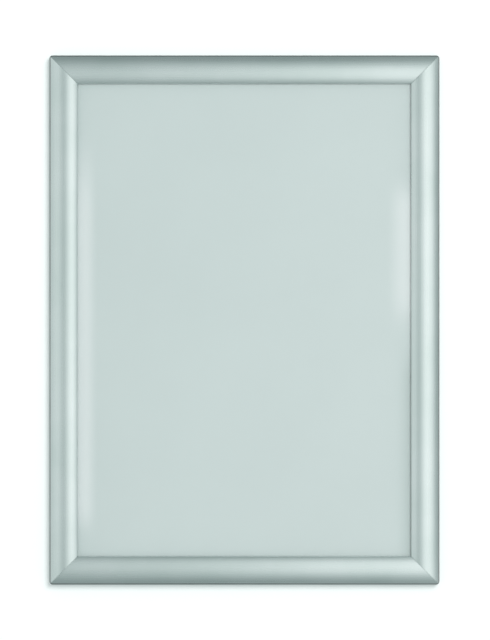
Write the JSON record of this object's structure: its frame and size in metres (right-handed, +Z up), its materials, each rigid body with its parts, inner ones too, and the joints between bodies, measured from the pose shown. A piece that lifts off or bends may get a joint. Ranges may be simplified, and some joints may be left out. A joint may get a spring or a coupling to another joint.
{
  "type": "outdoor snap frame",
  "caption": "Wall-mounted weatherproof poster frame with crowned, mitred aluminium rails that hinge open along the outer edges to change the insert under a clear cover.",
  "frame": {"origin": "centre of the back, in the plane of the wall", "axes": "+Z up, the front of the frame faces -Y, +X to the right as seen from the front"},
  "size_m": [0.488, 0.0161, 0.662],
  "materials": {
    "anodised_aluminium": "satin silver anodised extrusion",
    "base_aluminium": "silver anodised extrusion, back and inside",
    "epdm_rubber": "extruded weather seal",
    "spring_steel": "blued and tempered strip",
    "zinc_plated_steel": "zinc plated, stamped",
    "black_steel": "black oxide",
    "galvanised_steel": "hot-dip galvanised sheet with spangle",
    "insert_paper": "plain matt paper",
    "clear_cover": "clear PVC sheet, low glare"
  },
  "bodies": {
    "base": {"base_rail_top": "base_aluminium", "base_rail_bottom": "base_aluminium", "base_rail_left": "base_aluminium", "base_rail_right": "base_aluminium", "corner_key_top_left": "zinc_plated_steel", "corner_key_top_right": "zinc_plated_steel", "corner_key_bottom_left": "zinc_plated_steel", "corner_key_bottom_right": "zinc_plated_steel", "key_screw_top_left_a": "black_steel", "key_screw_top_left_b": "black_steel", "key_screw_top_right_a": "black_steel", "key_screw_top_right_b": "black_steel", "key_screw_bottom_left_a": "black_steel", "key_screw_bottom_left_b": "black_steel", "key_screw_bottom_right_a": "black_steel", "key_screw_bottom_right_b": "black_steel", "leaf_spring_top_1": "spring_steel", "leaf_spring_top_2": "spring_steel", "leaf_spring_bottom_1": "spring_steel", "leaf_spring_bottom_2": "spring_steel", "leaf_spring_left_1": "spring_steel", "leaf_spring_left_2": "spring_steel", "leaf_spring_left_3": "spring_steel", "leaf_spring_right_1": "spring_steel", "leaf_spring_right_2": "spring_steel", "leaf_spring_right_3": "spring_steel", "back_panel": "galvanised_steel", "insert_sheet": "insert_paper", "cover_sheet": "clear_cover"},
    "top_snap": {"snap_rail_top": "anodised_aluminium", "gasket_top": "epdm_rubber"},
    "bottom_snap": {"snap_rail_bottom": "anodised_aluminium", "gasket_bottom": "epdm_rubber"},
    "left_snap": {"snap_rail_left": "anodised_aluminium", "gasket_left": "epdm_rubber"},
    "right_snap": {"snap_rail_right": "anodised_aluminium", "gasket_right": "epdm_rubber"}
  },
  "joints": [
    {"name": "top_rail_hinge", "type": "hinge", "parent": "base", "child": "top_snap", "pos_m": [0, -0.0061, 0.3284], "axis": [-1, 0, 0], "range_deg": [0, 90]},
    {"name": "bottom_rail_hinge", "type": "hinge", "parent": "base", "child": "bottom_snap", "pos_m": [0, -0.0061, -0.3284], "axis": [1, 0, 0], "range_deg": [0, 90]},
    {"name": "left_rail_hinge", "type": "hinge", "parent": "base", "child": "left_snap", "pos_m": [-0.2414, -0.0061, 0], "axis": [0, 0, -1], "range_deg": [0, 90]},
    {"name": "right_rail_hinge", "type": "hinge", "parent": "base", "child": "right_snap", "pos_m": [0.2414, -0.0061, 0], "axis": [0, 0, 1], "range_deg": [0, 90]}
  ]
}
